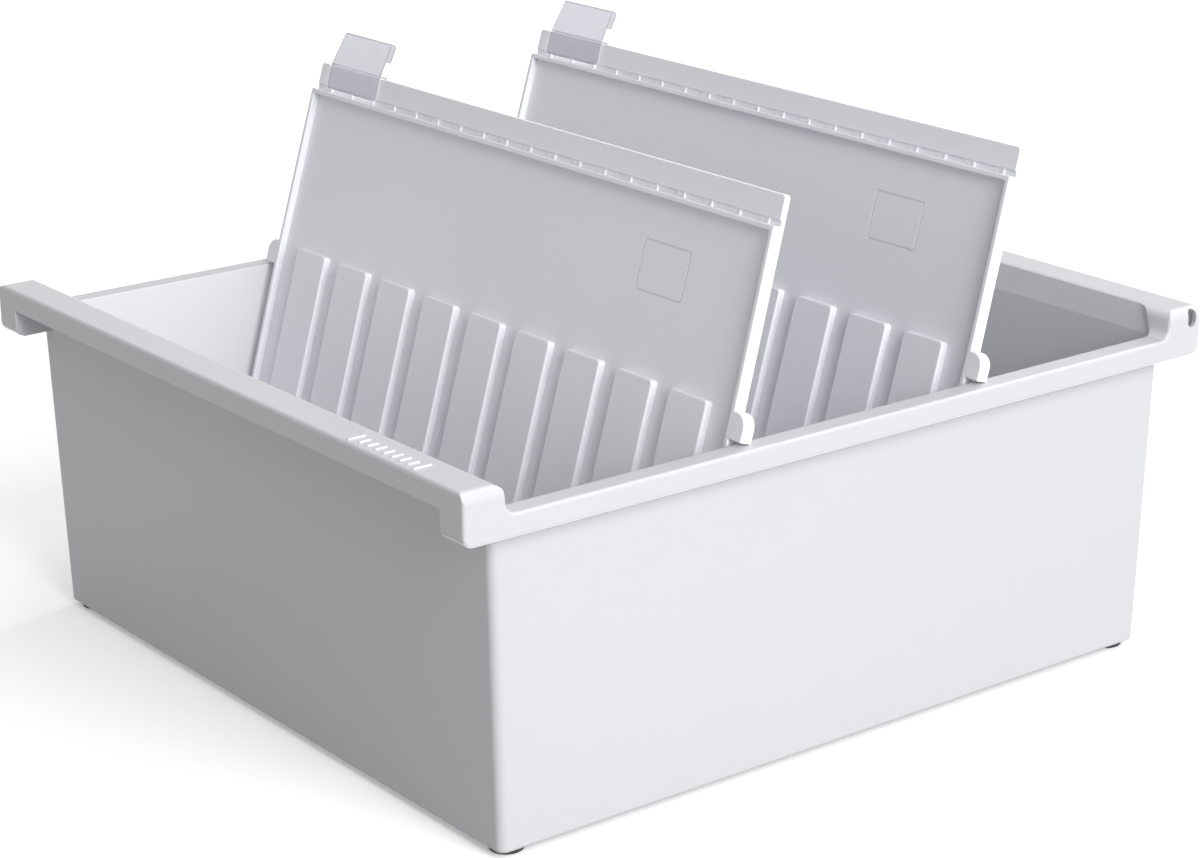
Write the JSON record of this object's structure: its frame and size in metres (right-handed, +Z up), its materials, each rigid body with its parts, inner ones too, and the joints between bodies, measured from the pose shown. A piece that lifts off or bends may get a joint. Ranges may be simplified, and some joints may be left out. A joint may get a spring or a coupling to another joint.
{
  "type": "index card box",
  "caption": "Open index card box for landscape A4 cards, with raised grip rims at both ends, leaning support plates and clear sliding index tabs.",
  "frame": {"origin": "on the table, under the middle of the tray", "axes": "+Z up, +X across the cards to the right seen from the front, +Y towards the rear; the front rim is at -Y and the plates lean back towards +Y"},
  "size_m": [0.324, 0.3496, 0.2259],
  "materials": {
    "tray": "fine matt, light grey",
    "plates": "fine matt, light grey",
    "tabs": "clear, glossy",
    "feet": "matt, near black"
  },
  "bodies": {
    "tray": {"tray": "tray", "front_left_foot": "feet", "front_right_foot": "feet", "rear_left_foot": "feet", "rear_right_foot": "feet"},
    "front_plate": {"front_plate": "plates"},
    "rear_plate": {"rear_plate": "plates"},
    "front_tab": {"front_tab": "tabs"},
    "rear_tab": {"rear_tab": "tabs"}
  },
  "joints": [
    {"name": "front_plate_lean", "type": "hinge", "parent": "tray", "child": "front_plate", "pos_m": [0.0011, -0.0875, 0.0072], "axis": [1, 0, 0], "range_deg": [0, 32.5]},
    {"name": "rear_plate_lean", "type": "hinge", "parent": "tray", "child": "rear_plate", "pos_m": [0.0011, 0.02625, 0.0072], "axis": [1, 0, 0], "range_deg": [0, 26]},
    {"name": "front_tab_slide", "type": "slide", "parent": "front_plate", "child": "front_tab", "axis": [1, 0, 0], "range_m": [-0.006, 0.25]},
    {"name": "rear_tab_slide", "type": "slide", "parent": "rear_plate", "child": "rear_tab", "axis": [1, 0, 0], "range_m": [-0.006, 0.25]}
  ]
}
